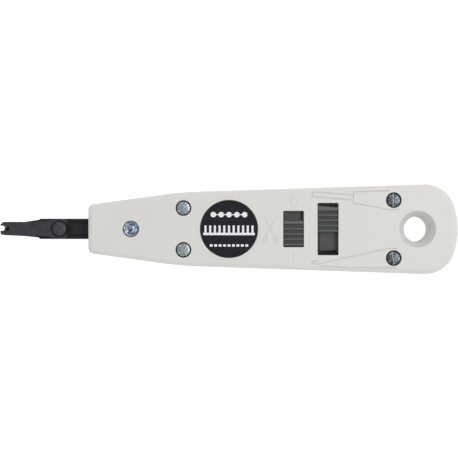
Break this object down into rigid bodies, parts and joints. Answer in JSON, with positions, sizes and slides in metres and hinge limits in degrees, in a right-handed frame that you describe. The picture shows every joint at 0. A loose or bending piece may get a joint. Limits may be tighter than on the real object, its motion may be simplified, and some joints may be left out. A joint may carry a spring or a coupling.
{
  "type": "punch down tool",
  "caption": "Hand tool that presses wires into terminal contacts: sprung forked steel head in a two-shell plastic grip, with cutter switch, fold-out blade and hook.",
  "frame": {"origin": "centre of the bounding box in X and Y, on the rear face (Z = 0) that the tool lies on", "axes": "+X runs the length of the tool from the head to the hanging hole, +Z points out of the front face with the switches, +Y is to the left when looking along +X with the front face up"},
  "size_m": [0.1762, 0.0346, 0.019],
  "materials": {
    "housing_plastic": "fine matt moulded texture, light warm grey",
    "switch_plastic": "satin dark grey",
    "label_plastic": null,
    "black_steel": "black phosphated steel",
    "grey_steel": "dark burnished steel",
    "zinc_steel": "bright zinc plate",
    "spring_steel": "drawn wire",
    "brass": "turned"
  },
  "bodies": {
    "housing": {"front_shell": "housing_plastic", "rear_shell": "housing_plastic", "label_disc": "label_plastic", "guide_rivet": "zinc_steel", "screw_front_upper": "zinc_steel", "screw_front_lower": "zinc_steel", "screw_rear_upper": "zinc_steel", "screw_rear_lower": "zinc_steel", "threaded_insert_front_upper": "brass", "threaded_insert_front_lower": "brass", "threaded_insert_rear_upper": "brass", "threaded_insert_rear_lower": "brass", "main_spring": "spring_steel", "spring_seat": "zinc_steel", "switch_detent_spring": "spring_steel", "release_spring_upper": "spring_steel", "release_spring_lower": "spring_steel", "tool_detent_spring": "spring_steel"},
    "head": {"front_blade": "grey_steel", "rear_blade": "grey_steel", "shank_plate": "black_steel", "head_rivet": "grey_steel", "sensor_spring": "spring_steel"},
    "scissor": {"scissor_blade": "black_steel"},
    "sensor": {"sensor_slider": "black_steel"},
    "cutter_switch": {"cutter_switch": "switch_plastic"},
    "cutter_link": {"cutter_link": "zinc_steel"},
    "release_slider": {"release_slider": "switch_plastic"},
    "pick_blade": {"pick_blade": "zinc_steel"},
    "wire_hook": {"wire_hook": "zinc_steel"}
  },
  "joints": [
    {"name": "head_slide", "type": "slide", "parent": "housing", "child": "head", "axis": [1, 0, 0], "range_m": [0, 0.006], "stiffness_N_per_m": 2000, "deforming": ["main_spring"]},
    {"name": "scissor_hinge", "type": "hinge", "parent": "head", "child": "scissor", "pos_m": [-0.06535, 0, 0.0101], "axis": [0, 0, 1], "range_deg": [0, 6]},
    {"name": "sensor_slide", "type": "slide", "parent": "head", "child": "sensor", "axis": [1, 0, 0], "range_m": [0, 0.0012], "stiffness_N_per_m": 60, "deforming": ["sensor_spring"]},
    {"name": "switch_slide", "type": "slide", "parent": "housing", "child": "cutter_switch", "axis": [0, 1, 0], "range_m": [0, 0.0037]},
    {"name": "link_hinge", "type": "hinge", "parent": "housing", "child": "cutter_link", "pos_m": [-0.02, 0, 0.0137], "axis": [0, 0, 1], "range_deg": [0, 4.72]},
    {"name": "release_slide", "type": "slide", "parent": "housing", "child": "release_slider", "axis": [0, 1, 0], "range_m": [-0.0013, 0.001], "stiffness_N_per_m": 300, "deforming": ["release_spring_upper", "release_spring_lower"]},
    {"name": "pick_blade_hinge", "type": "hinge", "parent": "housing", "child": "pick_blade", "pos_m": [0.0632, 0.0111, 0.0095], "axis": [0, 0, -1], "range_deg": [0, 150]},
    {"name": "wire_hook_hinge", "type": "hinge", "parent": "housing", "child": "wire_hook", "pos_m": [0.0632, -0.0111, 0.0095], "axis": [0, 0, 1], "range_deg": [0, 150]}
  ],
  "couplings": [
    {"joint": "scissor_hinge", "follows": "head_slide", "rad_per_m": 17.45},
    {"joint": "link_hinge", "follows": "switch_slide", "rad_per_m": 22.22}
  ]
}
